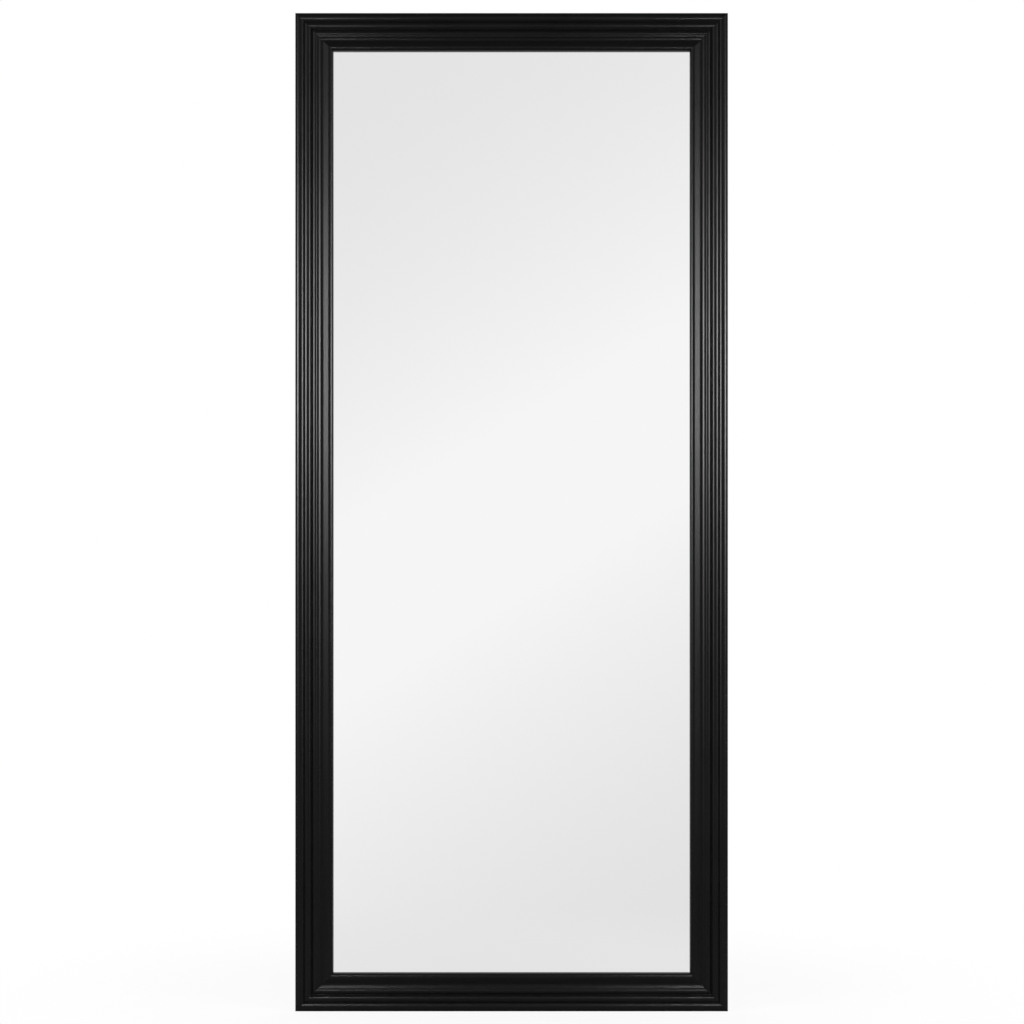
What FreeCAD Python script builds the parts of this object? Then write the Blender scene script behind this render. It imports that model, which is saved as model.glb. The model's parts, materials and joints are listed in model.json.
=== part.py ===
import FreeCAD, Part
import math
import os
import re
import Sketcher
from FreeCAD import Placement, Rotation, Vector

# Full-length wall mirror in a reeded, mitred wooden frame, in millimetres.
# The glass faces -Y, the wall is on the +Y side and +Z is up.
# The origin is under the middle of the mirror, at the height of its bottom edge.

SIZES = {
    # Overall size of the framed mirror
    "mirror_width": 650.0,
    "mirror_height": 1500.0,
    # Section of the frame moulding, from its outer edge to the sight edge
    "frame_depth": 20.0,
    "outer_land": 0.5,
    "outer_reed_width": 12.8,
    "outer_reed_radius": 7.6,
    "middle_reed_width": 11.2,
    "middle_reed_radius": 6.0,
    "crease_step": 2.1,
    "valley_width": 1.0,
    "inner_reed_run": 4.7,
    "inner_reed_radius": 5.6,
    "shoulder_radius": 10.9,
    "fall_angle": 35.0,
    "scoop_radius": 7.0,
    "rise_angle": 17.0,
    "rise_run": 6.55,
    "lip_radius": 6.0,
    "rebate_width": 10.0,
    "saw_overrun": 1.0,
    # Sheets stacked in the rebate
    "glass_thickness": 4.0,
    "liner_thickness": 1.0,
    "board_thickness": 3.0,
    "glass_edge_gap": 2.0,
    "board_edge_gap": 1.0,
    "spacer_length": 40.0,
    "spacer_inset": 90.0,
    # Rubber pads that hold the frame off the wall
    "bumper_height": 6.0,
    "bumper_base_radius": 8.0,
    "bumper_tip_radius": 6.8,
    "bumper_setback": 22.0,
    "bumper_end_inset": 75.0,
    # V-shaped nails across the mitres
    "nail_thickness": 0.6,
    "nail_wing": 8.0,
    "nail_depth": 10.0,
    "nail_clearance": 0.05,
    "nail_outer_setback": 12.0,
    "nail_inner_setback": 30.0,
    # Pan-head wood screws
    "screw_diameter": 3.5,
    "screw_length": 12.0,
    "screw_tip": 3.0,
    "head_radius": 3.6,
    "head_height": 2.2,
    "head_edge": 1.0,
    "cross_length": 4.0,
    "cross_width": 0.9,
    "cross_depth": 1.1,
    "pilot_clearance": 0.05,
    "pilot_spare": 0.5,
    # Turn buttons that keep the back board in the rebate
    "button_thickness": 1.2,
    "button_gap": 0.3,
    "button_end_radius": 5.5,
    "button_reach": 14.0,
    "button_setback": 9.0,
    "pivot_clearance": 0.08,
    "stile_button_inset": 150.0,
    "rail_button_inset": 185.0,
    # Strap hangers with loose D-rings
    "hanger_setback": 20.0,
    "hanger_drop": 278.0,
    "strap_leaf": 1.0,
    "strap_width": 16.0,
    "strap_length": 43.0,
    "strap_corner": 3.0,
    "strap_hole_upper": 19.0,
    "strap_hole_lower": 35.0,
    "strap_hole_clearance": 0.2,
    "ring_wire": 3.2,
    "ring_radius": 12.0,
    "ring_clearance": 0.08,
    "ring_rest_gap": 0.3,
}

DERIVED = {
    "outer_crease": "outer_land + outer_reed_width",
    "outer_reed_rise": "outer_reed_radius - sqrt(outer_reed_radius^2 - outer_reed_width^2 / 4)",
    "outer_height": "frame_depth - outer_reed_rise",
    "valley_start": "outer_crease + middle_reed_width",
    "valley_end": "valley_start + valley_width",
    "valley_height": "outer_height - crease_step",
    "inner_crest": "valley_end + inner_reed_run",
    "inner_reed_rise": "inner_reed_radius - sqrt(inner_reed_radius^2 - inner_reed_run^2)",
    "inner_height": "valley_height + inner_reed_rise",
    "fall_end": "inner_crest + shoulder_radius * sin(fall_angle)",
    "fall_height": "inner_height - shoulder_radius * (1 - cos(fall_angle))",
    "rise_start": "fall_end + scoop_radius * (sin(fall_angle) + sin(rise_angle))",
    "rise_height": "fall_height + scoop_radius * (cos(fall_angle) - cos(rise_angle))",
    "lip_start": "rise_start + rise_run",
    "lip_height": "rise_height + rise_run * tan(rise_angle)",
    "frame_face": "lip_start + lip_radius * (1 + sin(rise_angle))",
    "lip_shoulder": "lip_height - lip_radius * cos(rise_angle)",
    "rebate_depth": "glass_thickness + liner_thickness + board_thickness",
    "rebate_wall": "frame_face - rebate_width",
    "back_plane": "(frame_depth - bumper_height) / 2",
    "glass_margin": "rebate_wall + glass_edge_gap",
    "board_margin": "rebate_wall + board_edge_gap",
    "pivot_setback": "rebate_wall - button_setback",
    "button_seat": "button_thickness + 2 * button_gap",
    "stile_button_pitch": "(mirror_height - 2 * stile_button_inset) / 3",
    "rail_button_pitch": "mirror_width - 2 * rail_button_inset",
    "strap_thickness": "2 * strap_leaf",
    "eye_bore": "ring_wire / 2 + ring_clearance",
    "eye_radius": "eye_bore + strap_leaf",
    "hanger_axis": "mirror_height - hanger_drop",
}

doc = FreeCAD.newDocument("wooden_mirror")
sheet = doc.addObject("Spreadsheet::Sheet", "sizes")
entries = [(alias, str(value)) for alias, value in SIZES.items()]
entries += [(alias, "=" + formula) for alias, formula in DERIVED.items()]
for row, (alias, content) in enumerate(entries, start=1):
    sheet.set(f"A{row}", alias)
    sheet.set(f"B{row}", content)
    sheet.setAlias(f"B{row}", alias)
doc.recompute()


def bound(formula):
    """The formula with each alias pointing at the size sheet."""
    return re.sub(r"\b([a-z]+(?:_[a-z]+)+)\b", r"sizes.\1", formula)


def value(formula):
    """The number that a formula of aliases gives now."""
    return float(sheet.evalExpression(formula))


def bind(thing, name, formula):
    thing.setExpression(name, bound(formula))


def place(thing, x, y, z, axis=Vector(0, 1, 0), turn=0):
    """Turns the thing about an axis and binds its position to the sheet."""
    thing.Placement = Placement(Vector(value(x), value(y), value(z)), Rotation(axis, turn))
    for name, formula in (("x", x), ("y", y), ("z", z)):
        bind(thing, f"Placement.Base.{name}", formula)


# Sketches with every corner pinned to the size sheet

def new_sketch(body, role, name):
    plane = [feature for feature in body.Origin.OriginFeatures if feature.Role == role][0]
    sketch = body.newObject("Sketcher::SketchObject", name)
    sketch.AttachmentSupport = [(plane, "")]
    sketch.MapMode = "FlatFace"
    return sketch


def constrain(sketch, kind, where, formula):
    number = sketch.addConstraint(Sketcher.Constraint(kind, *where, value(formula)))
    bind(sketch, f"Constraints[{number}]", formula)


def pin(sketch, geometry, end, across, up):
    """Holds one point of a sketch at a place given by two formulas."""
    for kind, axis, formula in (("DistanceX", -2, across), ("DistanceY", -1, up)):
        if formula == "0":
            sketch.addConstraint(Sketcher.Constraint("PointOnObject", geometry, end, axis))
        else:
            constrain(sketch, kind, (-1, 1, geometry, end), formula)


def arc_through(start, finish, radius, side):
    """The shorter arc between two points, with its centre on the left (1) or right (-1)."""
    chord = finish - start
    middle = (start + finish) / 2
    to_centre = Vector(-chord.y, chord.x, 0).normalize() * side
    centre = middle + to_centre * math.sqrt(max(radius**2 - chord.Length**2 / 4, 0))
    return Part.Arc(start, centre - to_centre * radius, finish)


def outline(sketch, corners):
    """A closed outline. A corner is (across, up), with (radius, side) added if an arc ends there."""
    points = [Vector(value(corner[0]), value(corner[1]), 0) for corner in corners]
    ends = []
    for number, corner in enumerate(corners):
        start, finish = points[number - 1], points[number]
        if len(corner) == 2:
            geometry = sketch.addGeometry(Part.LineSegment(start, finish))
        else:
            geometry = sketch.addGeometry(arc_through(start, finish, value(corner[2]), corner[3]))
        first_is_start = (sketch.getPoint(geometry, 1) - start).Length < 1e-6
        ends.append((geometry, 1, 2) if first_is_start else (geometry, 2, 1))
    for number, corner in enumerate(corners):
        geometry, _, last = ends[number]
        following, first, _ = ends[(number + 1) % len(corners)]
        sketch.addConstraint(Sketcher.Constraint("Coincident", geometry, last, following, first))
        pin(sketch, geometry, last, corner[0], corner[1])
        if len(corner) == 4:
            constrain(sketch, "Radius", (geometry,), corner[2])


def circle(sketch, across, up, radius):
    centre = Vector(value(across), value(up), 0)
    geometry = sketch.addGeometry(Part.Circle(centre, Vector(0, 0, 1), value(radius)))
    pin(sketch, geometry, 3, across, up)
    constrain(sketch, "Radius", (geometry,), radius)


def rectangle(sketch, left, right, low, high):
    outline(sketch, [(left, low), (right, low), (right, high), (left, high)])


# Solid features

def pad(body, sketch, length, symmetric=False, reverse=False):
    feature = body.newObject("PartDesign::Pad", sketch.Name + "_pad")
    feature.Profile = sketch
    feature.SideType = "Symmetric" if symmetric else "One side"
    feature.Reversed = reverse
    bind(feature, "Length", length)
    return feature


def pocket(body, sketch, depth=None):
    """Cuts towards -Y from the plane of an XZ sketch, or right through both ways."""
    doc.recompute()
    before = body.Shape.Volume
    feature = body.newObject("PartDesign::Pocket", sketch.Name + "_pocket")
    feature.Profile = sketch
    if depth is None:
        feature.Type = "ThroughAll"
        feature.SideType = "Symmetric"
    else:
        feature.Reversed = True
        bind(feature, "Length", depth)
    doc.recompute()
    assert body.Shape.Volume < before - 0.1, f"{sketch.Name} cut nothing from {body.Label}"
    return feature


def new_body(label):
    return doc.addObject("PartDesign::Body", label)


def box(label, sizes, corner):
    block = doc.addObject("Part::Box", label)
    for name, formula in zip(("Length", "Width", "Height"), sizes):
        bind(block, name, formula)
    place(block, *corner)
    return block


def group(label, members):
    """Identical fasteners, kept as separate solids under one name."""
    compound = doc.addObject("Part::Compound", label)
    compound.Links = members
    return compound


def copy_of(form, label, x, y, z, turn=0):
    link = doc.addObject("App::Link", label)
    link.LinkedObject = form
    place(link, x, y, z, turn=turn)
    return link


pieces = []

# Frame members. Each lies along X with its outer edge on Z = 0 and its back on Y = 0,
# is cut to 45 degrees at both ends, and is then turned to its side of the mirror.

SECTION = [
    ("0", "0"),
    ("-outer_height", "0"),
    ("-outer_height", "outer_land"),
    ("-outer_height", "outer_crease", "outer_reed_radius", -1),
    ("-valley_height", "valley_start", "middle_reed_radius", -1),
    ("-valley_height", "valley_end"),
    ("-inner_height", "inner_crest", "inner_reed_radius", -1),
    ("-fall_height", "fall_end", "shoulder_radius", -1),
    ("-rise_height", "rise_start", "scoop_radius", 1),
    ("-lip_height", "lip_start"),
    ("-lip_shoulder", "frame_face", "lip_radius", -1),
    ("-rebate_depth", "frame_face"),
    ("-rebate_depth", "rebate_wall"),
    ("0", "rebate_wall"),
]


def frame_member(label, length, turn, x, z, pilots):
    body = new_body(label)
    section = new_sketch(body, "YZ_Plane", label + "_section")
    outline(section, SECTION)
    pad(body, section, length, symmetric=True)

    mitres = new_sketch(body, "XZ_Plane", label + "_mitres")
    for side in ("", "-"):
        outer = f"{side}({length} / 2 + saw_overrun)"
        inner = f"{side}({length} / 2 - frame_face - saw_overrun)"
        past_lip = "frame_face + saw_overrun"
        outline(mitres, [(outer, "-saw_overrun"), (outer, past_lip), (inner, past_lip)])
    pocket(body, mitres)

    slots = new_sketch(body, "XZ_Plane", label + "_nail_slots")
    half = "(nail_thickness / 2 + nail_clearance)"
    for side in ("", "-"):
        for setback in ("nail_outer_setback", "nail_inner_setback"):
            apex = f"{side}({length} / 2 - {setback} + {half})"
            tip = f"{side}({length} / 2 - {setback} - nail_wing - nail_clearance)"
            rectangle(slots, apex, tip, f"{setback} - {half}", f"{setback} + {half}")
    pocket(body, slots, "nail_depth + nail_clearance")

    for name, depth, places in pilots:
        holes = new_sketch(body, "XZ_Plane", f"{label}_{name}_pilots")
        for along, setback in places:
            circle(holes, along, setback, "screw_diameter / 2 + pilot_clearance")
        pocket(body, holes, f"screw_length - {depth} + pilot_spare")

    place(body, x, "back_plane", z, turn=turn)
    pieces.append(body)


STILE_STEPS = ("-1.5", "-0.5", "0.5", "1.5")
stile_buttons = [(f"{step} * stile_button_pitch", "pivot_setback") for step in STILE_STEPS]
rail_buttons = [(f"{step} * rail_button_pitch", "pivot_setback") for step in ("-0.5", "0.5")]
strap_screws = ("strap_hole_upper", "strap_hole_lower")
left_hanger = [(f"hanger_drop + {hole} - mirror_height / 2", "hanger_setback") for hole in strap_screws]
right_hanger = [(f"mirror_height / 2 - hanger_drop - {hole}", "hanger_setback") for hole in strap_screws]

frame_member("bottom_rail", "mirror_width", 0, "0", "0",
             [("button", "button_seat", rail_buttons)])
frame_member("top_rail", "mirror_width", 180, "0", "mirror_height",
             [("button", "button_seat", rail_buttons)])
frame_member("left_stile", "mirror_height", 90, "-mirror_width / 2", "mirror_height / 2",
             [("button", "button_seat", stile_buttons), ("hanger", "strap_thickness", left_hanger)])
frame_member("right_stile", "mirror_height", -90, "mirror_width / 2", "mirror_height / 2",
             [("button", "button_seat", stile_buttons), ("hanger", "strap_thickness", right_hanger)])

# V-nails, two across each mitre, driven flush with the back of the frame.

nail = new_body("nail_form")
nail_sketch = new_sketch(nail, "XZ_Plane", "nail_outline")
back_edge, front_edge = "-nail_thickness / 2", "nail_thickness / 2"
outline(nail_sketch, [
    (back_edge, back_edge), ("nail_wing", back_edge), ("nail_wing", front_edge),
    (front_edge, front_edge), (front_edge, "nail_wing"), (back_edge, "nail_wing"),
])
pad(nail, nail_sketch, "nail_depth")

CORNERS = {
    "bottom_left": ("-mirror_width / 2 + {0}", "{0}", 0),
    "bottom_right": ("mirror_width / 2 - {0}", "{0}", -90),
    "top_left": ("-mirror_width / 2 + {0}", "mirror_height - {0}", 90),
    "top_right": ("mirror_width / 2 - {0}", "mirror_height - {0}", 180),
}
nails = []
for corner, (x, z, turn) in CORNERS.items():
    for setback in ("nail_outer_setback", "nail_inner_setback"):
        name = f"nail_{corner}_{setback.split('_')[1]}"
        nails.append(copy_of(nail, name, x.format(setback), "back_plane", z.format(setback), turn))
pieces.append(group("corner_v_nails", nails))

# Mirror pane, foam liner and back board, stacked in the rebate behind the lip.

def rebate_sheet(label, thickness, margin, front):
    sizes = (f"mirror_width - 2 * {margin}", thickness, f"mirror_height - 2 * {margin}")
    pieces.append(box(label, sizes, (f"{margin} - mirror_width / 2", front, margin)))


rebate_sheet("mirror_glass", "glass_thickness", "glass_margin", "back_plane - rebate_depth")
rebate_sheet("foam_liner", "liner_thickness", "board_margin", "back_plane - rebate_depth + glass_thickness")
rebate_sheet("back_board", "board_thickness", "board_margin", "back_plane - board_thickness")

# Soft spacers in the gap round the pane. The two lower ones carry its weight.

glass_front = "back_plane - rebate_depth"
lower = "glass_margin + spacer_inset"
upper = "mirror_height - glass_margin - spacer_inset - spacer_length"
left = "glass_margin + spacer_inset - mirror_width / 2"
right = "mirror_width / 2 - glass_margin - spacer_inset - spacer_length"
for name, x in (("left", left), ("right", right)):
    flat = ("spacer_length", "glass_thickness", "glass_edge_gap")
    pieces.append(box(f"spacer_bottom_{name}", flat, (x, glass_front, "rebate_wall")))
    pieces.append(box(f"spacer_top_{name}", flat, (x, glass_front, "mirror_height - glass_margin")))
for name, z in (("lower", lower), ("upper", upper)):
    tall = ("glass_edge_gap", "glass_thickness", "spacer_length")
    pieces.append(box(f"spacer_left_{name}", tall, ("rebate_wall - mirror_width / 2", glass_front, z)))
    pieces.append(box(f"spacer_right_{name}", tall, ("mirror_width / 2 - glass_margin", glass_front, z)))

# Pan-head screw, with its head's underside on Y = 0 and its point towards -Y.

screw = new_body("screw_form")
screw_sketch = new_sketch(screw, "XY_Plane", "screw_outline")
dome = "(head_radius^2 + (head_height - head_edge)^2) / (2 * (head_height - head_edge))"
outline(screw_sketch, [
    ("0", "-screw_length"), ("screw_diameter / 2", "screw_tip - screw_length"), ("screw_diameter / 2", "0"),
    ("head_radius", "0"), ("head_radius", "head_edge"), ("0", "head_height", dome, 1),
])
turned = screw.newObject("PartDesign::Revolution", "screw_turned")
turned.Profile = screw_sketch
turned.ReferenceAxis = (screw_sketch, ["V_Axis"])
turned.Angle = 360
cross = new_sketch(screw, "XZ_Plane", "screw_cross")
bind(cross, "AttachmentOffset.Base.z", "-head_height")
arm, slot = "cross_length / 2", "cross_width / 2"
outline(cross, [
    (f"-{arm}", f"-{slot}"), (f"-{slot}", f"-{slot}"), (f"-{slot}", f"-{arm}"), (slot, f"-{arm}"),
    (slot, f"-{slot}"), (arm, f"-{slot}"), (arm, slot), (slot, slot),
    (slot, arm), (f"-{slot}", arm), (f"-{slot}", slot), (f"-{arm}", slot),
])
pocket(screw, cross, "cross_depth")

# Turn buttons: flat steel plates with round ends, each free to turn on its own screw.

def turn_button(label, x, z, turn):
    body = new_body(label)
    plate = new_sketch(body, "XZ_Plane", label + "_plate")
    edge = "button_end_radius"
    outline(plate, [
        (f"-{edge}", "0"), ("0", f"-{edge}", edge, 1), (edge, "0", edge, 1), (edge, "button_reach"),
        ("0", f"button_reach + {edge}", edge, 1), (f"-{edge}", "button_reach", edge, 1),
    ])
    circle(plate, "0", "0", "screw_diameter / 2 + pivot_clearance")
    pad(body, plate, "button_thickness", reverse=True)
    place(body, x, "back_plane + button_gap", z, turn=turn)
    pieces.append(body)
    button_screws.append(copy_of(screw, label + "_screw", x, "back_plane + button_seat", z))


button_screws = []
for number, step in enumerate(STILE_STEPS, start=1):
    z = f"mirror_height / 2 + {step} * stile_button_pitch"
    turn_button(f"turn_button_left_{number}", "pivot_setback - mirror_width / 2", z, 90)
    turn_button(f"turn_button_right_{number}", "mirror_width / 2 - pivot_setback", z, -90)
for name, step in (("left", "-0.5"), ("right", "0.5")):
    x = f"{step} * rail_button_pitch"
    turn_button(f"turn_button_bottom_{name}", x, "pivot_setback", 0)
    turn_button(f"turn_button_top_{name}", x, "mirror_height - pivot_setback", 180)
pieces.append(group("turn_button_screws", button_screws))

# Hangers: a steel strap folded round the straight side of a D-ring and screwed to each stile.

def strap(label, x):
    body = new_body(label)
    side = new_sketch(body, "YZ_Plane", label + "_side")
    notch = "-sqrt(eye_radius^2 - (eye_radius - strap_thickness)^2)"
    outline(side, [
        ("0", "-strap_length"), ("strap_thickness", "-strap_length"), ("strap_thickness", notch),
        ("2 * eye_radius", "0", "eye_radius", 1), ("eye_radius", "eye_radius", "eye_radius", 1),
        ("0", "0", "eye_radius", 1),
    ])
    circle(side, "eye_radius", "0", "eye_bore")
    pad(body, side, "strap_width", symmetric=True)
    holes = new_sketch(body, "XZ_Plane", label + "_holes")
    for hole in strap_screws:
        circle(holes, "0", f"-{hole}", "screw_diameter / 2 + strap_hole_clearance")
    drilled = pocket(body, holes)
    foot = -value("strap_length")
    corners = [f"Edge{number}" for number, edge in enumerate(body.Shape.Edges, start=1)
               if all(abs(vertex.Z - foot) < 1e-6 for vertex in edge.Vertexes)
               and abs(edge.Vertexes[0].Y - edge.Vertexes[-1].Y) > 1e-6]
    rounding = body.newObject("PartDesign::Fillet", label + "_corners")
    rounding.Base = (drilled, corners)
    bind(rounding, "Radius", "strap_corner")
    place(body, x, "back_plane", "hanger_axis")
    pieces.append(body)


def d_ring(label, x):
    bow = doc.addObject("Part::Torus", label + "_bow")
    bow.Placement = Placement(Vector(0, 0, 0), Rotation(Vector(1, 0, 0), -90))
    bow.Angle3 = 180
    bind(bow, "Radius1", "ring_radius")
    bind(bow, "Radius2", "ring_wire / 2")
    bar = doc.addObject("Part::Cylinder", label + "_bar")
    bind(bar, "Radius", "ring_wire / 2")
    bind(bar, "Height", "2 * ring_radius")
    place(bar, "-ring_radius", "0", "0", turn=90)
    ends = []
    for side in ("-", ""):
        ball = doc.addObject("Part::Sphere", label + "_end")
        bind(ball, "Radius", "ring_wire / 2")
        place(ball, side + "ring_radius", "0", "0")
        ends.append(ball)
    ring = doc.addObject("Part::MultiFuse", label)
    ring.Shapes = [bow, bar, *ends]
    rest = "asin((strap_leaf + ring_rest_gap - ring_clearance) / sqrt(ring_radius^2 - strap_width^2 / 4))"
    place(ring, x, "back_plane + eye_radius", "hanger_axis", Vector(1, 0, 0), value(rest))
    bind(ring, "Placement.Rotation.Angle", rest)
    pieces.append(ring)


HANGERS = {"left": "hanger_setback - mirror_width / 2", "right": "mirror_width / 2 - hanger_setback"}
hanger_screws = []
for name, x in HANGERS.items():
    strap(f"hanger_strap_{name}", x)
    d_ring(f"hanger_ring_{name}", x)
    for hole in strap_screws:
        z = f"hanger_axis - {hole}"
        hanger_screws.append(copy_of(screw, f"{hole}_{name}", x, "back_plane + strap_thickness", z))
pieces.append(group("hanger_screws", hanger_screws))

# Wall bumpers: tapered rubber pads glued to the back of the stiles near the corners.

BUMPERS = {
    "bottom_left": ("bumper_setback - mirror_width / 2", "bumper_end_inset"),
    "bottom_right": ("mirror_width / 2 - bumper_setback", "bumper_end_inset"),
    "top_left": ("bumper_setback - mirror_width / 2", "mirror_height - bumper_end_inset"),
    "top_right": ("mirror_width / 2 - bumper_setback", "mirror_height - bumper_end_inset"),
}
for name, (x, z) in BUMPERS.items():
    bumper = doc.addObject("Part::Cone", f"wall_bumper_{name}")
    bind(bumper, "Radius1", "bumper_base_radius")
    bind(bumper, "Radius2", "bumper_tip_radius")
    bind(bumper, "Height", "bumper_height")
    place(bumper, x, "back_plane", z, Vector(1, 0, 0), -90)
    pieces.append(bumper)

# Every object and every piece is checked before anything is written.

doc.recompute()
failed = [thing.Label for thing in doc.Objects if {"Invalid", "Error"} & set(thing.State)]
assert not failed, f"failed objects: {failed}"
os.makedirs("parts", exist_ok=True)
for piece in pieces:
    shape = piece.Shape
    assert not shape.isNull() and shape.isValid(), f"{piece.Label} has no valid shape"
for piece in pieces:
    piece.Shape.exportStep(os.path.join("parts", piece.Label + ".step"))
print(len(pieces), "pieces written")
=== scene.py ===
import json
import math

import bpy
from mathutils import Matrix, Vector

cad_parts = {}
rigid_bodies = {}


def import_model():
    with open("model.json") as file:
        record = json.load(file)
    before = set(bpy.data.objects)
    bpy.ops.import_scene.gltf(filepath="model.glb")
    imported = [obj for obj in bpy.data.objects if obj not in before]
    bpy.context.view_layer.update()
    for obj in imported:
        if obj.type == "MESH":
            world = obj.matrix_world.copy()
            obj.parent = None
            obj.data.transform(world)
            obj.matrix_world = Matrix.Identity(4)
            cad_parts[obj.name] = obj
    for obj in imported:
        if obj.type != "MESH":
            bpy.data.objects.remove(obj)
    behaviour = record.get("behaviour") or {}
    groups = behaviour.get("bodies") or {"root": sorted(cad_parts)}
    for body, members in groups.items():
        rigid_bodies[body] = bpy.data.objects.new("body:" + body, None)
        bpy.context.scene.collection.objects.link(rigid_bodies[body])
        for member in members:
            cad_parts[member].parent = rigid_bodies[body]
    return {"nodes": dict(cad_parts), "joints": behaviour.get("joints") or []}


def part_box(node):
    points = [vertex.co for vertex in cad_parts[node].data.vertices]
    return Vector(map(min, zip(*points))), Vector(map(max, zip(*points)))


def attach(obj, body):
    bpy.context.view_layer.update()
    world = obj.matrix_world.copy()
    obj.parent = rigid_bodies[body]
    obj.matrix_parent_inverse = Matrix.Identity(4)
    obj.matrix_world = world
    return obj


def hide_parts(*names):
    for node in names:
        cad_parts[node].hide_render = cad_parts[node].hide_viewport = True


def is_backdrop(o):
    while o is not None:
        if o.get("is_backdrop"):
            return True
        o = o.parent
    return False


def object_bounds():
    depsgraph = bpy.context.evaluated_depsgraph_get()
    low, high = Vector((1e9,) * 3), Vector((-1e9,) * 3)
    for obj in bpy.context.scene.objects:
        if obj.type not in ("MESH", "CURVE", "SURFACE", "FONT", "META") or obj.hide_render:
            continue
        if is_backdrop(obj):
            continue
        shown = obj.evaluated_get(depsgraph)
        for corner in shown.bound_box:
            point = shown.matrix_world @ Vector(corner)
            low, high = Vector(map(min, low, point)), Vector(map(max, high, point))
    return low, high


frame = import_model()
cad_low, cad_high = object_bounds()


# Frame members: four lengths of one softwood moulding with three reeds, a quirk, a scoop and a lip.
# Each length is run through a moulder and sawn to 45 degrees at both ends.
# The corners are glued, and the whole frame is sprayed satin black.

MM = 0.001
near = 0.01 * MM
exact = 0.001 * MM

mirror_width = cad_high.x - cad_low.x
mirror_height = cad_high.z - cad_low.z
middle_height = (cad_low.z + cad_high.z) / 2
frame_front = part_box("left_stile")[0].y
frame_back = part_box("left_stile")[1].y

outer_land = 0.5 * MM
outer_reed_width = 12.8 * MM
outer_reed_radius = 7.6 * MM
middle_reed_width = 11.2 * MM
middle_reed_radius = 6.0 * MM
crease_step = 2.1 * MM
valley_width = 1.0 * MM
inner_reed_run = 4.7 * MM
inner_reed_radius = 5.6 * MM
inner_fall_radius = 3.6 * MM
quirk_angle = 40
shoulder_radius = 6.29 * MM
shoulder_tilt = 3
fall_angle = 35
scoop_radius = 7.0 * MM
rise_angle = 17
rise_run = 6.55 * MM
lip_radius = 6.0 * MM
rebate_depth = 8 * MM
rebate_width = 10 * MM
arris_softness = 0.3 * MM
mitre_softness = 0.18 * MM
mitre_end_gap = 0.5 * MM


def reed_slopes(width, drop, radius):
    """The slopes at the two ends of a reed, from its width, its fall and its radius."""
    tilt = math.degrees(math.atan2(-drop, width))
    half_turn = math.degrees(math.asin(math.hypot(width, drop) / 2 / radius))
    return tilt + half_turn, tilt - half_turn


outer_slopes = reed_slopes(outer_reed_width, 0, outer_reed_radius)
middle_slopes = reed_slopes(middle_reed_width, crease_step, middle_reed_radius)
crest_slope = math.degrees(math.asin(inner_reed_run / inner_reed_radius))
land_y = frame_front + outer_reed_radius * (1 - math.cos(math.radians(outer_slopes[0])))


class Signal:
    """A node's output in a material or in the studio; arithmetic on it adds Math nodes."""

    def __init__(self, tree, socket):
        self.tree = tree
        self.socket = socket

    def node(self, kind, settings, inputs, output=0):
        """Adds a node with its settings, fills or links its sockets and gives one output."""
        made = self.tree.nodes.new("ShaderNode" + kind)
        for key, value in settings.items():
            setattr(made, key, value)
        for key, value in inputs.items():
            if isinstance(value, Signal):
                self.tree.links.new(value.socket, made.inputs[key])
            else:
                made.inputs[key].default_value = value
        return Signal(self.tree, made.outputs[output])

    def maths(self, operation, first, second):
        """A Math node on two values."""
        return self.node("Math", {"operation": operation}, {0: first, 1: second})

    def __add__(self, other):
        return self.maths("ADD", self, other)

    def __radd__(self, other):
        return self.maths("ADD", other, self)

    def __sub__(self, other):
        return self.maths("SUBTRACT", self, other)

    def __rsub__(self, other):
        return self.maths("SUBTRACT", other, self)

    def __mul__(self, other):
        return self.maths("MULTIPLY", self, other)

    def __rmul__(self, other):
        return self.maths("MULTIPLY", other, self)

    def __truediv__(self, other):
        return self.maths("DIVIDE", self, other)

    def __pow__(self, other):
        return self.maths("POWER", self, other)

    def larger(self, other):
        """The larger of two values."""
        return self.maths("MAXIMUM", self, other)

    def size(self):
        """The value without its sign."""
        return self.maths("ABSOLUTE", self, 0)

    def part(self, axis):
        """One of a vector's three values."""
        return self.node("SeparateXYZ", {}, {0: self}, axis)

    def ease(self, low, high):
        """0 below the low value and 1 above the high one, with a soft change between."""
        return self.node("MapRange", {"interpolation_type": "SMOOTHSTEP"},
                         {"Value": self, "From Min": low, "From Max": high})

    def ramp(self, low, high):
        """0 below the low value and 1 above the high one, with an even change between."""
        return self.node("MapRange", {}, {"Value": self, "From Min": low, "From Max": high})

    def noise(self, scale, detail, stretch=(1, 1, 1)):
        """Cloudy noise with the given number of blots in a metre."""
        place = self.node("VectorMath", {"operation": "MULTIPLY"}, {0: self, 1: stretch})
        return self.node("TexNoise", {}, {"Vector": place, "Scale": scale, "Detail": detail})

    def tint(self, first, second):
        """A colour that goes from the first to the second as this value goes from 0 to 1."""
        return self.node("Mix", {"data_type": "RGBA"}, {0: self, 6: first, 7: second}, 2)

    def bump(self, strength, depth):
        """A surface normal with this value pressed into it."""
        return self.node("Bump", {}, {"Height": self, "Strength": strength, "Distance": depth})

    def feed(self, node, key):
        """Links this value to a socket of a node."""
        self.tree.links.new(self.socket, node.inputs[key])


def new_finish(name):
    """A new material with its shader and the place on the object that drives its patterns."""
    material = bpy.data.materials.new(name)
    material.use_nodes = True
    tree = material.node_tree
    coordinates = tree.nodes.new("ShaderNodeTexCoord")
    return material, tree.nodes["Principled BSDF"], Signal(tree, coordinates.outputs["Object"])


def wear(piece, material):
    """Gives a piece one finish all over."""
    piece.data.materials.clear()
    piece.data.materials.append(material)


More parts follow.
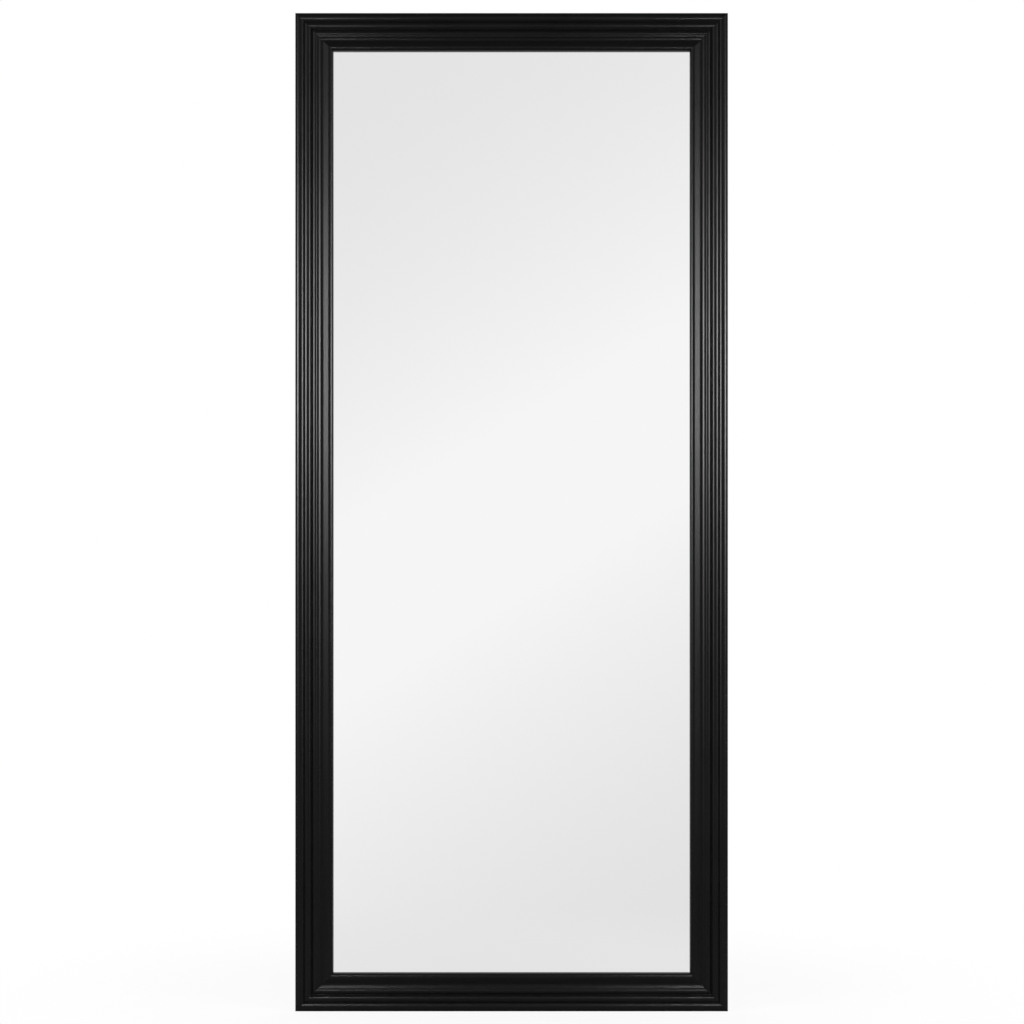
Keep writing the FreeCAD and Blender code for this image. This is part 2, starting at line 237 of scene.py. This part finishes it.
def satin_paint(name, grain):
    """Sprayed black paint over wood whose grain runs along the axis with the small stretch."""
    material, shader, place = new_finish(name)
    depth = place.part("Y")
    streaks = place.noise(700, 4, grain)
    pores = place.noise(2600, 2, grain)
    patches = place.noise(9, 3)
    spray = place.noise(1500, 2)
    behind = depth.ease(frame_back - 0.4 * MM, frame_back - 0.1 * MM)
    # Mask for painted shade: it grows towards the deeper hollows of the moulding.
    shaded_hollows = depth.ease(frame_front + 3.2 * MM, frame_front + 6 * MM)
    rub_reach = 0.9 * MM
    outer_side = place.part("X").size() - (mirror_width / 2 - rub_reach)
    outer_end = (place.part("Z") - middle_height).size() - (mirror_height / 2 - rub_reach)
    flank = outer_side.larger(outer_end).ease(0, 0.6 * MM)
    front_arris = 1 - (depth - land_y).size().ease(arris_softness, rub_reach)
    back_arris = depth.ease(frame_back - rub_reach, frame_back - 0.4 * MM)
    rubbed = flank * (front_arris + back_arris) * place.noise(55, 4).ease(0.52, 0.68)
    thin = behind * streaks.ease(0.4, 0.7)
    black = patches.tint((0.0036, 0.0036, 0.0038, 1), (0.0056, 0.0054, 0.0053, 1))
    # Painted shade: the base colour is darkened in the deeper hollows of the moulding, where shade
    # falls.
    painted_hollow_shade = (shaded_hollows * 0.7).tint(black, (0.0028, 0.0028, 0.0029, 1))
    worn = (rubbed * 0.7).tint(painted_hollow_shade, (0.028, 0.024, 0.021, 1))
    (thin * 0.8).tint(worn, (0.026, 0.018, 0.012, 1)).feed(shader, "Base Color")
    sheen = 0.23 + 0.05 * patches + 0.06 * streaks
    (sheen + 0.3 * behind + 0.34 * flank - 0.1 * rubbed).feed(shader, "Roughness")
    relief = 0.55 * streaks + 0.25 * pores + 0.2 * spray
    (relief * (1 + behind)).bump(0.3, 0.16 * MM).feed(shader, "Normal")
    return material


class SectionPen:
    """Draws a section in edit mode, in the YZ plane, stretch by stretch from one vertex."""

    facet_angle = 6

    def __init__(self, y, z):
        self.y = y
        self.z = z
        self.corners = [(y, z)]
        bpy.context.tool_settings.mesh_select_mode = (True, False, False)
        bpy.ops.object.select_all(action="DESELECT")
        bpy.ops.mesh.primitive_plane_add(size=MM)
        bpy.ops.object.mode_set(mode="EDIT")
        bpy.ops.mesh.merge(type="CENTER")
        bpy.ops.transform.translate(value=(0, y, z))

    def line(self, y, z, corner=True):
        """A straight stretch to a point, which is a corner of the section unless told otherwise."""
        step = (0, y - self.y, z - self.z)
        bpy.ops.mesh.extrude_region_move(TRANSFORM_OT_translate={"value": step})
        self.y = y
        self.z = z
        if corner:
            self.corner()

    def arc(self, radius, slope_in, slope_out, hollow=False):
        """A round stretch from one slope to another, in degrees above the run towards the glass."""
        reach = -radius if hollow else radius
        first = math.radians(slope_in)
        last = math.radians(slope_out)
        centre_y = self.y + reach * math.cos(first)
        centre_z = self.z + reach * math.sin(first)
        steps = math.ceil(abs(slope_out - slope_in) / self.facet_angle)
        bpy.ops.mesh.spin(steps=steps, angle=first - last, axis=(1, 0, 0),
                          center=(0, centre_y, centre_z))
        self.y = centre_y - reach * math.cos(last)
        self.z = centre_z - reach * math.sin(last)

    def corner(self):
        """Notes that the section has a corner here."""
        self.corners.append((self.y, self.z))


def select_edges(piece, wanted):
    """Selects the edges, in edit mode, whose two end points pass the test."""
    bpy.ops.object.mode_set(mode="OBJECT")
    bpy.context.tool_settings.mesh_select_mode = (False, True, False)
    mesh = piece.data
    for group in (mesh.vertices, mesh.edges, mesh.polygons):
        group.foreach_set("select", [False] * len(group))
    for edge in mesh.edges:
        first, second = (mesh.vertices[number].co for number in edge.vertices)
        edge.select = wanted(first, second)
    bpy.ops.object.mode_set(mode="EDIT")


def cut_away(piece, cutter):
    """Takes the cutter's shape out of a piece, and clears the slivers that this leaves."""
    cut = piece.modifiers.new("cut", "BOOLEAN")
    cut.object = cutter
    cut.solver = "MANIFOLD"
    bpy.context.view_layer.objects.active = piece
    bpy.ops.object.modifier_apply(modifier=cut.name)
    bpy.ops.object.mode_set(mode="EDIT")
    bpy.ops.mesh.select_all(action="SELECT")
    bpy.ops.mesh.dissolve_degenerate(threshold=near / 2)
    bpy.ops.object.mode_set(mode="OBJECT")


def shade_evenly(piece, angle):
    """Smooth shading that leaves flat faces flat and edges sharper than the angle crisp."""
    bpy.ops.object.select_all(action="DESELECT")
    piece.select_set(True)
    bpy.context.view_layer.objects.active = piece
    bpy.ops.object.shade_smooth_by_angle(angle=math.radians(angle))
    even = piece.modifiers.new("even_shading", "WEIGHTED_NORMAL")
    even.keep_sharp = True
    bpy.ops.object.modifier_apply(modifier=even.name)


def frame_member(node, length, half_across, turn, finish, nails):
    """One length of moulding, drawn about the mirror's middle and turned to its side."""
    pen = SectionPen(frame_back, -half_across)
    pen.line(land_y, -half_across)
    pen.line(land_y, pen.z + outer_land)
    pen.arc(outer_reed_radius, *outer_slopes)
    pen.corner()
    pen.arc(middle_reed_radius, *middle_slopes)
    pen.corner()
    pen.line(pen.y, pen.z + valley_width)
    pen.arc(inner_reed_radius, crest_slope, 0)
    pen.arc(inner_fall_radius, 0, -quirk_angle)
    pen.corner()
    pen.arc(shoulder_radius, shoulder_tilt, -fall_angle)
    pen.arc(scoop_radius, -fall_angle, rise_angle, hollow=True)
    pen.line(pen.y - rise_run * math.tan(math.radians(rise_angle)), pen.z + rise_run, corner=False)
    pen.arc(lip_radius, rise_angle, -90)
    pen.line(frame_back - rebate_depth, pen.z)
    pen.line(pen.y, pen.z - rebate_width)
    pen.line(frame_back, pen.z)
    piece = bpy.context.object
    piece.name = node + "_moulding"
    bpy.ops.mesh.select_all(action="SELECT")
    bpy.ops.mesh.edge_face_add()
    bpy.ops.transform.translate(value=(-length / 2, 0, 0))
    bpy.ops.mesh.extrude_region_move(TRANSFORM_OT_translate={"value": (length, 0, 0)})
    bpy.ops.mesh.select_all(action="SELECT")
    bpy.ops.mesh.normals_make_consistent(inside=False)

    def is_arris(first, second):
        if abs(first.x - second.x) < length / 2:
            return False
        return any(math.hypot(first.y - y, first.z - z) < near for y, z in pen.corners)

    select_edges(piece, is_arris)
    bpy.ops.mesh.bevel(offset=arris_softness, segments=2, profile=0.5)
    for end in (-1, 1):
        bpy.ops.mesh.select_all(action="SELECT")
        bpy.ops.mesh.bisect(plane_co=(end * length / 2, 0, -half_across), plane_no=(end, 0, 1),
                            threshold=exact, clear_outer=True, use_fill=True)

    def is_mitre(first, second):
        off = max(abs(abs(end.x) + end.z + half_across - length / 2) for end in (first, second))
        moulded = max(first.y, second.y) < frame_back - rebate_depth - mitre_end_gap
        return first.x * second.x > 0 and off < exact and moulded

    select_edges(piece, is_mitre)
    bpy.ops.mesh.bevel(offset=mitre_softness, segments=1)
    bpy.ops.mesh.select_all(action="SELECT")
    bpy.ops.mesh.normals_make_consistent(inside=False)
    bpy.ops.object.mode_set(mode="OBJECT")
    piece.location = (0, 0, middle_height)
    piece.rotation_euler = (0, math.radians(turn), 0)
    bpy.ops.object.transform_apply(location=True, rotation=True, scale=False)
    cut_away(piece, nails)
    shade_evenly(piece, angle=25)
    wear(piece, finish)
    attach(piece, "mirror")
    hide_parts(node)


def loose_copy(node):
    """A copy of a CAD piece with a mesh of its own, its triangles joined up, in edit mode."""
    bpy.ops.object.select_all(action="DESELECT")
    source = bpy.data.objects[node]
    source.select_set(True)
    bpy.context.view_layer.objects.active = source
    bpy.ops.object.duplicate()
    copy = bpy.context.object
    bpy.ops.object.parent_clear(type="CLEAR_KEEP_TRANSFORM")
    bpy.ops.object.mode_set(mode="EDIT")
    bpy.ops.mesh.select_all(action="SELECT")
    bpy.ops.mesh.remove_doubles(threshold=exact)
    bpy.ops.mesh.normals_make_consistent(inside=False)
    return copy


slot_overcut = 0.5 * MM
nail_cutter = loose_copy("corner_v_nails")
bpy.ops.transform.translate(value=(0, slot_overcut, 0))
bpy.ops.object.mode_set(mode="OBJECT")
rail_paint = satin_paint("satin_black_on_rails", (0.02, 1, 1))
stile_paint = satin_paint("satin_black_on_stiles", (1, 1, 0.02))
frame_member("bottom_rail", mirror_width, mirror_height / 2, 0, rail_paint, nail_cutter)
frame_member("left_stile", mirror_height, mirror_width / 2, 90, stile_paint, nail_cutter)
frame_member("top_rail", mirror_width, mirror_height / 2, 180, rail_paint, nail_cutter)
frame_member("right_stile", mirror_height, mirror_width / 2, 270, stile_paint, nail_cutter)
bpy.data.objects.remove(nail_cutter)


# Corner nails: bent strips of spring steel, pressed across each mitre from behind.
# Two stand in every corner, flush with the back of the frame.
# The steel is dull and slightly blued, with bright streaks from the press.

nail_steel, shader, place = new_finish("dull_nail_steel")
blotches = place.noise(260, 4)
rubs = place.noise(1800, 3, (1, 0.1, 1))
blotches.ease(0.35, 0.7).tint((0.22, 0.22, 0.23, 1), (0.35, 0.34, 0.33, 1)).feed(shader, "Base Color")
shader.inputs["Metallic"].default_value = 1
(0.38 + 0.22 * blotches).feed(shader, "Roughness")
rubs.bump(0.2, 0.05 * MM).feed(shader, "Normal")
wear(bpy.data.objects["corner_v_nails"], nail_steel)


# Mirror pane: 4 mm float glass, silvered over its whole face.
# Its ground edges are hidden in the rebate, and grey paint seals the silver at the back.
# Eight soft rubber spacers hold it centred in the rebate, two of them under its weight.

silvering, shader, place = new_finish("silvered_glass")
pane_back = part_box("mirror_glass")[1].y
sealed = place.part("Y").ease(pane_back - 0.3 * MM, pane_back - 0.1 * MM)
clouds = place.noise(1.3, 2)
silver = clouds.tint((0.926, 0.926, 0.926, 1), (0.934, 0.934, 0.934, 1))
sealed.tint(silver, (0.16, 0.17, 0.17, 1)).feed(shader, "Base Color")
(1 - sealed).feed(shader, "Metallic")
shader.inputs["Roughness"].default_value = 0
wear(bpy.data.objects["mirror_glass"], silvering)

spacer_rubber, shader, place = new_finish("grey_spacer_rubber")
bloom = place.noise(320, 4)
bloom.tint((0.045, 0.045, 0.047, 1), (0.085, 0.084, 0.082, 1)).feed(shader, "Base Color")
(0.68 + 0.2 * bloom).feed(shader, "Roughness")
place.noise(2400, 3).bump(0.3, 0.08 * MM).feed(shader, "Normal")
for node in frame["nodes"]:
    if node.startswith("spacer_"):
        wear(bpy.data.objects[node], spacer_rubber)


# Liner and back board: a 1 mm sheet of white foam, then 3 mm of brown pressed hardboard.
# The foam keeps the board off the silvering; the board closes the back flush with the frame.
# The board's fibres give it a mottled brown, with a few dark flecks.

foam, shader, place = new_finish("white_foam")
cells = place.node("TexVoronoi", {}, {"Vector": place, "Scale": 700})
cells.tint((0.70, 0.70, 0.69, 1), (0.82, 0.82, 0.81, 1)).feed(shader, "Base Color")
(0.75 + 0.2 * cells).feed(shader, "Roughness")
cells.bump(0.35, 0.15 * MM).feed(shader, "Normal")
wear(bpy.data.objects["foam_liner"], foam)

hardboard, shader, place = new_finish("brown_hardboard")
clouds = place.noise(5, 5)
fibres = place.node("TexNoise", {}, {"Vector": place, "Scale": 260, "Detail": 6, "Distortion": 2.5})
wisps = place.noise(60, 5, (1, 1, 0.45))
strands = place.node("TexNoise", {}, {"Vector": place, "Scale": 700, "Detail": 4, "Distortion": 4})
flecks = place.noise(330, 3).ease(0.66, 0.72)
brown = clouds.ease(0.25, 0.75).tint((0.190, 0.108, 0.052, 1), (0.232, 0.138, 0.070, 1))
matted = (0.45 * wisps.ease(0.35, 0.7)).tint(brown, (0.270, 0.168, 0.090, 1))
mottled = (0.6 * fibres.ease(0.35, 0.7)).tint(matted, (0.140, 0.078, 0.038, 1))
stranded = (0.35 * strands.ease(0.5, 0.7)).tint(mottled, (0.330, 0.215, 0.122, 1))
(0.7 * flecks).tint(stranded, (0.060, 0.034, 0.019, 1)).feed(shader, "Base Color")
(0.58 + 0.2 * fibres + 0.08 * clouds).feed(shader, "Roughness")
(0.6 * fibres + 0.4 * strands).bump(0.25, 0.15 * MM).feed(shader, "Normal")
wear(bpy.data.objects["back_board"], hardboard)


# Turn buttons: flat zinc-plated steel plates with round ends, tumbled so that no edge is sharp.
# Each turns on a pan-head screw in the frame, and its free end holds the board in.
# One is modelled about its screw and copied to every screw.

zinc, shader, place = new_finish("zinc_plated_steel")
spangle = place.noise(330, 3)
haze = place.noise(60, 3)
scratches = place.noise(2200, 3, (1, 1, 0.08))
plated = spangle.ease(0.3, 0.7).tint((0.36, 0.37, 0.385, 1), (0.48, 0.48, 0.475, 1))
(0.5 * haze.ease(0.45, 0.75)).tint(plated, (0.34, 0.33, 0.30, 1)).feed(shader, "Base Color")
shader.inputs["Metallic"].default_value = 1
(0.27 + 0.16 * spangle + 0.10 * haze).feed(shader, "Roughness")
(0.5 * scratches + 0.5 * spangle).bump(0.12, 0.05 * MM).feed(shader, "Normal")


def bevel_sharp(piece, offset):
    """Softens every edge of a piece that is sharper than 60 degrees."""
    bpy.context.view_layer.objects.active = piece
    bpy.ops.object.mode_set(mode="EDIT")
    bpy.ops.mesh.select_all(action="DESELECT")
    bpy.ops.mesh.edges_select_sharp(sharpness=math.radians(60))
    bpy.ops.mesh.bevel(offset=offset, segments=2)
    bpy.ops.object.mode_set(mode="OBJECT")


def drill(piece, radius, at):
    """A round hole right through a piece along Y."""
    bpy.ops.object.select_all(action="DESELECT")
    bpy.ops.mesh.primitive_cylinder_add(vertices=40, radius=radius, depth=40 * MM, location=at,
                                        rotation=(math.pi / 2, 0, 0))
    bit = bpy.context.object
    bpy.ops.object.transform_apply(location=True, rotation=True, scale=True)
    cut_away(piece, bit)
    bpy.data.objects.remove(bit)


def place_copy(pattern, name, at, turn):
    """A copy of a pattern piece with its own mesh, moved to its place and turned about Y."""
    bpy.ops.object.select_all(action="DESELECT")
    pattern.select_set(True)
    bpy.context.view_layer.objects.active = pattern
    bpy.ops.object.duplicate()
    copy = bpy.context.object
    copy.name = name
    copy.location = at
    copy.rotation_euler = (0, turn, 0)
    bpy.ops.object.transform_apply(location=True, rotation=True, scale=False)
    return copy


button_end_radius = 5.5 * MM
button_reach = 14 * MM
button_hole_radius = 1.85 * MM
button_edge = 0.25 * MM
low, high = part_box("turn_button_left_1")
bpy.ops.object.select_all(action="DESELECT")
bpy.ops.mesh.primitive_circle_add(vertices=48, radius=button_end_radius, rotation=(math.pi / 2, 0, 0))
button = bpy.context.object
bpy.ops.object.transform_apply(location=True, rotation=True, scale=True)
bpy.ops.object.mode_set(mode="EDIT")
bpy.ops.mesh.select_all(action="SELECT")
bpy.ops.mesh.edge_face_add()
bpy.ops.mesh.bisect(plane_co=(0, 0, 0), plane_no=(0, 0, 1))
select_edges(button, lambda first, second: max(first.z, second.z) > near)
bpy.ops.transform.translate(value=(0, 0, button_reach))
bpy.ops.mesh.select_all(action="SELECT")
bpy.ops.transform.translate(value=(0, low.y, 0))
bpy.ops.mesh.extrude_region_move(TRANSFORM_OT_translate={"value": (0, high.y - low.y, 0)})
bpy.ops.mesh.select_all(action="SELECT")
bpy.ops.mesh.normals_make_consistent(inside=False)
bpy.ops.object.mode_set(mode="OBJECT")
drill(button, button_hole_radius, (0, 0, 0))
bevel_sharp(button, button_edge)
shade_evenly(button, angle=40)
wear(button, zinc)
for joint in frame["joints"]:
    node = joint["child"]
    if node.startswith("turn_button_"):
        low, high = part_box(node)
        pivot = Vector(joint["pos_m"])
        tip = (low + high) / 2 - pivot
        plate = place_copy(button, node + "_plate", (pivot.x, 0, pivot.z), math.atan2(tip.x, tip.z))
        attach(plate, node)
        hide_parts(node)
bpy.data.objects.remove(button)
wear(bpy.data.objects["turn_button_screws"], zinc)


# Hangers: a steel strip folded round the bar of a D-ring, its two leaves screwed to the stile.
# The strap's foot has rounded corners and two holes for pan-head screws.
# The ring is bent from round wire and swings in the strap's eye. All of it is zinc plated.

strap_leaf = 1.0 * MM
strap_corner = 3 * MM
strap_edge = 0.15 * MM
strap_hole_radius = 1.95 * MM
strap_hole_drops = (19 * MM, 35 * MM)
eye_bore = 1.68 * MM
eye_middle = eye_bore + strap_leaf / 2
first_leaf_y = frame_back + strap_leaf / 2
second_leaf_y = first_leaf_y + strap_leaf
ring_axis_y = first_leaf_y + eye_middle
fold = math.acos((second_leaf_y - ring_axis_y) / eye_middle)


def select_points(piece, wanted):
    """Selects the vertices, in edit mode, whose place passes the test."""
    bpy.ops.object.mode_set(mode="OBJECT")
    bpy.context.tool_settings.mesh_select_mode = (True, False, False)
    mesh = piece.data
    for group in (mesh.edges, mesh.polygons):
        group.foreach_set("select", [False] * len(group))
    for point in mesh.vertices:
        point.select = wanted(point.co)
    bpy.ops.object.mode_set(mode="EDIT")


for side in ("left", "right"):
    node = "hanger_strap_" + side
    low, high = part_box(node)
    bar_z = high.z - eye_middle - strap_leaf / 2
    fold_z = bar_z - eye_middle * math.sin(fold)
    pen = SectionPen(first_leaf_y, low.z)
    pen.line(first_leaf_y, bar_z)
    bpy.ops.mesh.spin(steps=30, angle=math.pi + fold, center=(0, ring_axis_y, bar_z), axis=(1, 0, 0))
    bpy.ops.mesh.extrude_region_move(TRANSFORM_OT_translate={"value": (0, 0, low.z - fold_z)})
    strap = bpy.context.object
    strap.name = node + "_folded"
    bpy.ops.mesh.select_all(action="SELECT")
    bpy.ops.transform.translate(value=(low.x, 0, 0))
    bpy.ops.mesh.extrude_region_move(TRANSFORM_OT_translate={"value": (high.x - low.x, 0, 0)})
    select_points(strap, lambda point: point.z < low.z + near)
    bpy.ops.mesh.bevel(affect="VERTICES", offset=strap_corner, segments=6)
    bpy.ops.mesh.select_all(action="SELECT")
    bpy.ops.mesh.normals_make_consistent(inside=False)
    bpy.ops.object.mode_set(mode="OBJECT")
    sheet = strap.modifiers.new("sheet", "SOLIDIFY")
    sheet.thickness = strap_leaf
    sheet.offset = 0
    bpy.ops.object.modifier_apply(modifier=sheet.name)
    for drop in strap_hole_drops:
        drill(strap, strap_hole_radius, ((low.x + high.x) / 2, 0, bar_z - drop))
    bevel_sharp(strap, strap_edge)
    shade_evenly(strap, angle=40)
    wear(strap, zinc)
    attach(strap, "mirror")
    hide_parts(node)
    wear(bpy.data.objects["hanger_ring_" + side], zinc)
wear(bpy.data.objects["hanger_screws"], zinc)


# Wall bumpers: moulded rubber pads, glued to the back of the frame near its corners.
# They keep the frame off the wall and stop it sliding. The rubber is black and matt.
# One is turned to shape from a cone and copied to the four corners.

bumper_rubber, shader, place = new_finish("black_bumper_rubber")
bloom = place.noise(240, 4)
dust = place.noise(900, 3).ease(0.5, 0.75)
soft_black = bloom.tint((0.016, 0.016, 0.017, 1), (0.034, 0.033, 0.032, 1))
(0.4 * dust).tint(soft_black, (0.07, 0.068, 0.065, 1)).feed(shader, "Base Color")
(0.62 + 0.22 * bloom).feed(shader, "Roughness")
place.noise(2600, 3).bump(0.25, 0.08 * MM).feed(shader, "Normal")

bumper_base_radius = 8 * MM
bumper_tip_radius = 6.8 * MM
bumper_rim = 1.2 * MM
low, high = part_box("wall_bumper_bottom_left")
bpy.ops.object.select_all(action="DESELECT")
bpy.ops.mesh.primitive_cone_add(vertices=64, radius1=bumper_base_radius, radius2=bumper_tip_radius,
                                depth=high.y - low.y, location=(0, (low.y + high.y) / 2, 0),
                                rotation=(-math.pi / 2, 0, 0))
bumper = bpy.context.object
bpy.ops.object.transform_apply(location=True, rotation=True, scale=True)
bpy.ops.object.mode_set(mode="EDIT")
select_edges(bumper, lambda first, second: min(first.y, second.y) > high.y - near)
bpy.ops.mesh.bevel(offset=bumper_rim, segments=5)
bpy.ops.object.mode_set(mode="OBJECT")
shade_evenly(bumper, angle=40)
wear(bumper, bumper_rubber)
for node in frame["nodes"]:
    if node.startswith("wall_bumper_"):
        low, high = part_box(node)
        pad = place_copy(bumper, node + "_pad", ((low.x + high.x) / 2, 0, (low.z + high.z) / 2), 0)
        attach(pad, "mirror")
        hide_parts(node)
bpy.data.objects.remove(bumper)


# Stage: a white studio with a soft lamp to each side, two behind and four weak ones for the rails.
# The floor is white and keeps the mirror's shadow; the mirror shows a pale backdrop.
# The camera stands level with the mirror's middle, straight in front of it.

scene = bpy.context.scene
scene.view_settings.view_transform = "Standard"
unlit = bpy.data.collections.new("not_lit_by_lamps")
unlit.objects.link(bpy.data.objects["mirror_glass"])
unlit.collection_objects[0].light_linking.link_state = "EXCLUDE"


def lamp_pair(name, at, aim, width, height, power, spread=180):
    """Soft rectangular lamps, alike on the left and right, that neither camera nor mirror shows."""
    for side, sign in (("left", -1), ("right", 1)):
        start = Vector((sign * at[0], at[1], at[2]))
        target = Vector((sign * aim[0], aim[1], aim[2]))
        lamp = bpy.data.lights.new(name + "_" + side, "AREA")
        lamp.shape = "RECTANGLE"
        lamp.size = width
        lamp.size_y = height
        lamp.energy = power
        lamp.spread = math.radians(spread)
        holder = bpy.data.objects.new(name + "_" + side, lamp)
        scene.collection.objects.link(holder)
        holder.location = start
        holder.rotation_euler = (target - start).to_track_quat("-Z", "Y").to_euler()
        holder.visible_camera = False
        holder.light_linking.receiver_collection = unlit


lamp_pair("lamp", at=(2.05, -1.45, 1.12), aim=(0, 0, middle_height),
          width=0.9, height=0.48, power=26.5)
lamp_pair("lamp_foot", at=(0.5, -1.1, 0.95), aim=(0.3, 0, 0.03),
          width=0.15, height=0.15, power=0.16, spread=50)
lamp_pair("lamp_head", at=(0.5, -1.1, 1.11), aim=(0.3, 0, 1.47),
          width=0.15, height=0.15, power=0.065, spread=40)
lamp_pair("lamp_back", at=(1.5, 2.6, 1.4), aim=(0, 0, middle_height),
          width=2.2, height=2.2, power=15)


def light_path(signal, kind):
    """1 where a surface or the studio is met by one kind of ray, and 0 elsewhere."""
    return signal.node("LightPath", {}, {}, "Is " + kind + " Ray")


world = bpy.data.worlds.new("white_studio")
scene.world = world
world.use_nodes = True
tree = world.node_tree
ray = Signal(tree, tree.nodes.new("ShaderNodeTexCoord").outputs["Generated"])
seen = light_path(ray, "Camera")
glossy = light_path(ray, "Glossy")
clear = light_path(ray, "Transmission")
sharp = light_path(ray, "Singular")
forward = (0 - ray.part("Y")).larger(0.25)
slant = (0.6 * ray.part("X") - ray.part("Z")) / forward
near_side = slant.ramp(-0.21, -0.035) ** 1.5
far_side = (1 - slant.ramp(0.035, 0.215)) ** 1.5
beyond = 1 - slant.ease(-1.3, -0.2) + slant.ease(0.2, 1.3)
backdrop = 0.66 + 0.15 * near_side + 0.172 * far_side - 0.3 * beyond
ahead = (0 - ray.part("Y")).ease(0.92, 0.985)
studio = 0.03 + 0.1 * ahead + 0.3 * ray.part("Y").ease(0.1, 0.7)
reflected = sharp * backdrop + (1 - sharp) * studio
straight = seen.larger(clear)
level = straight + (1 - straight) * (glossy * reflected + (1 - glossy) * 0.6)
level.tint((0, 0, 0, 1), (1, 1, 1, 1)).feed(tree.nodes["Background"], "Color")

floor_radius = 1.2
bpy.ops.object.select_all(action="DESELECT")
bpy.ops.mesh.primitive_circle_add(vertices=96, radius=floor_radius, fill_type="NGON")
floor = bpy.context.object
floor.name = "floor"
floor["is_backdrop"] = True
white, shader, place = new_finish("white_floor")
tree = white.node_tree
seen = light_path(place, "Camera")
glossy = light_path(place, "Glossy")
sharp = light_path(place, "Singular")
shown = seen.larger(sharp)
distance = place.node("VectorMath", {"operation": "LENGTH"}, {0: place}, "Value")
fade = distance.ease(0.4, 1.1)
dim = glossy * (1 - sharp)
dim.tint((0.85, 0.85, 0.85, 1), (0.10, 0.10, 0.10, 1)).feed(shader, "Base Color")
shader.inputs["Roughness"].default_value = 0.9
shader.inputs["Specular IOR Level"].default_value = 0
lit = Signal(tree, shader.outputs[0])
glow = place.node("Emission", {}, {"Color": sharp.tint((1, 1, 1, 1), (0.85, 0.85, 0.85, 1))})
pale = place.node("MixShader", {}, {0: shown * (0.86 + 0.14 * fade), 1: lit, 2: glow})
gone = place.node("BsdfTransparent", {}, {})
faded = place.node("MixShader", {}, {0: fade, 1: pale, 2: gone})
faded.feed(tree.nodes["Material Output"], "Surface")
wear(floor, white)

camera_distance = 3.7
camera_aside = 0.6 * MM
camera_above = 0.3 * MM
camera = bpy.data.cameras.new("camera")
camera.sensor_width = 36
camera.lens = 86.35
viewer = bpy.data.objects.new("camera", camera)
scene.collection.objects.link(viewer)
viewer.location = (camera_aside, -camera_distance, middle_height + camera_above)
viewer.rotation_euler = (math.pi / 2, 0, 0)
scene.camera = viewer

low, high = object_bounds()
